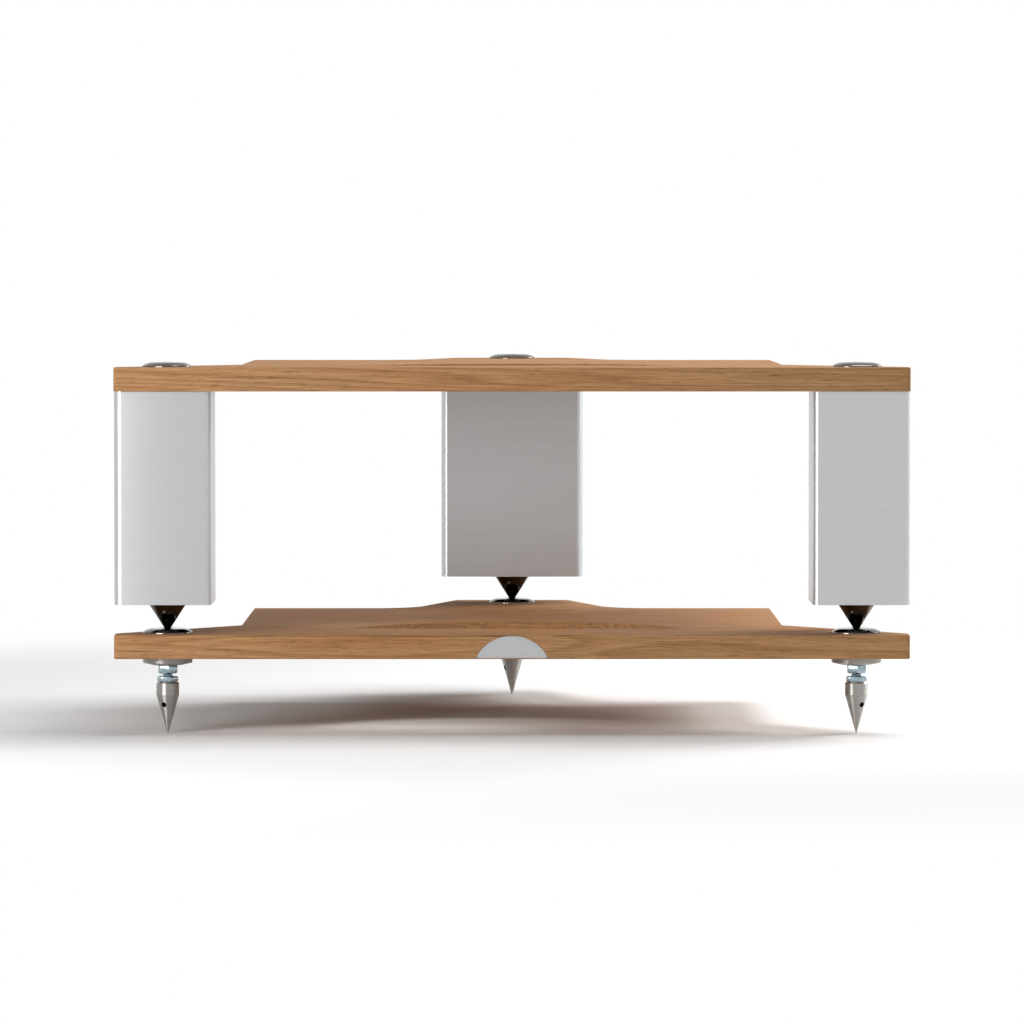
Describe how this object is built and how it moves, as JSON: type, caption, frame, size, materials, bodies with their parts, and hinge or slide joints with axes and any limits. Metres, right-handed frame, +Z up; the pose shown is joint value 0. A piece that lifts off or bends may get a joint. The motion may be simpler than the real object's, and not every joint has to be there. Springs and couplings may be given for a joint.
{
  "type": "audio rack",
  "caption": "Two-level audio rack: wooden shelves with a D cut-out, spiked screw feet, and an upper shelf on hollow aluminium legs whose spikes stand in cups.",
  "frame": {"origin": "on the floor, under the middle of the rack's box", "axes": "+Z up, front towards -Y, +X to the right seen from the front"},
  "size_m": [0.596, 0.475, 0.2793],
  "materials": {
    "cherry_veneer": "satin",
    "blasted_aluminium": "matte",
    "brushed_aluminium": "brushed",
    "black_chrome": "polished",
    "zinc_plate": "satin",
    "turned_steel": "turned",
    "bright_steel": "ground"
  },
  "bodies": {
    "root": {"base_shelf": "cherry_veneer", "badge": "blasted_aluminium", "base_cup_left": "black_chrome", "foot_stud_left": "zinc_plate", "foot_flange_left": "turned_steel", "clamp_nut_left": "zinc_plate", "base_cup_right": "black_chrome", "foot_stud_right": "zinc_plate", "foot_flange_right": "turned_steel", "clamp_nut_right": "zinc_plate", "base_cup_rear": "black_chrome", "foot_stud_rear": "zinc_plate", "foot_flange_rear": "turned_steel", "clamp_nut_rear": "zinc_plate"},
    "upper_level": {"upper_shelf": "cherry_veneer", "leg_dowels": "bright_steel", "upper_cup_left": "black_chrome", "leg_left": "brushed_aluminium", "tie_rod_left": "zinc_plate", "leg_spike_left": "black_chrome", "upper_cup_right": "black_chrome", "leg_right": "brushed_aluminium", "tie_rod_right": "zinc_plate", "leg_spike_right": "black_chrome", "upper_cup_rear": "black_chrome", "leg_rear": "brushed_aluminium", "tie_rod_rear": "zinc_plate", "leg_spike_rear": "black_chrome"},
    "left_lock_nut": {"lock_nut_left": "zinc_plate"},
    "left_foot": {"foot_spike_left": "turned_steel"},
    "right_lock_nut": {"lock_nut_right": "zinc_plate"},
    "right_foot": {"foot_spike_right": "turned_steel"},
    "rear_lock_nut": {"lock_nut_rear": "zinc_plate"},
    "rear_foot": {"foot_spike_rear": "turned_steel"}
  },
  "joints": [
    {"name": "upper_level_lift", "type": "slide", "parent": "root", "child": "upper_level", "axis": [0, 0, 1], "range_m": [0, 0.033]},
    {"name": "left_foot_height", "type": "slide", "parent": "root", "child": "left_lock_nut", "axis": [0, 0, 1], "range_m": [-0.00625, 0]},
    {"name": "left_foot_turn", "type": "hinge", "parent": "left_lock_nut", "child": "left_foot", "pos_m": [-0.2594, -0.2075, 0], "axis": [0, 0, 1], "range_deg": [-1800, 0]},
    {"name": "right_foot_height", "type": "slide", "parent": "root", "child": "right_lock_nut", "axis": [0, 0, 1], "range_m": [-0.00625, 0]},
    {"name": "right_foot_turn", "type": "hinge", "parent": "right_lock_nut", "child": "right_foot", "pos_m": [0.2594, -0.2075, 0], "axis": [0, 0, 1], "range_deg": [-1800, 0]},
    {"name": "rear_foot_height", "type": "slide", "parent": "root", "child": "rear_lock_nut", "axis": [0, 0, 1], "range_m": [-0.00625, 0]},
    {"name": "rear_foot_turn", "type": "hinge", "parent": "rear_lock_nut", "child": "rear_foot", "pos_m": [0, 0.2005, 0], "axis": [0, 0, 1], "range_deg": [-1800, 0]}
  ],
  "couplings": [
    {"joint": "left_foot_turn", "follows": "left_foot_height", "rad_per_m": 5026.5},
    {"joint": "right_foot_turn", "follows": "right_foot_height", "rad_per_m": 5026.5},
    {"joint": "rear_foot_turn", "follows": "rear_foot_height", "rad_per_m": 5026.5}
  ]
}
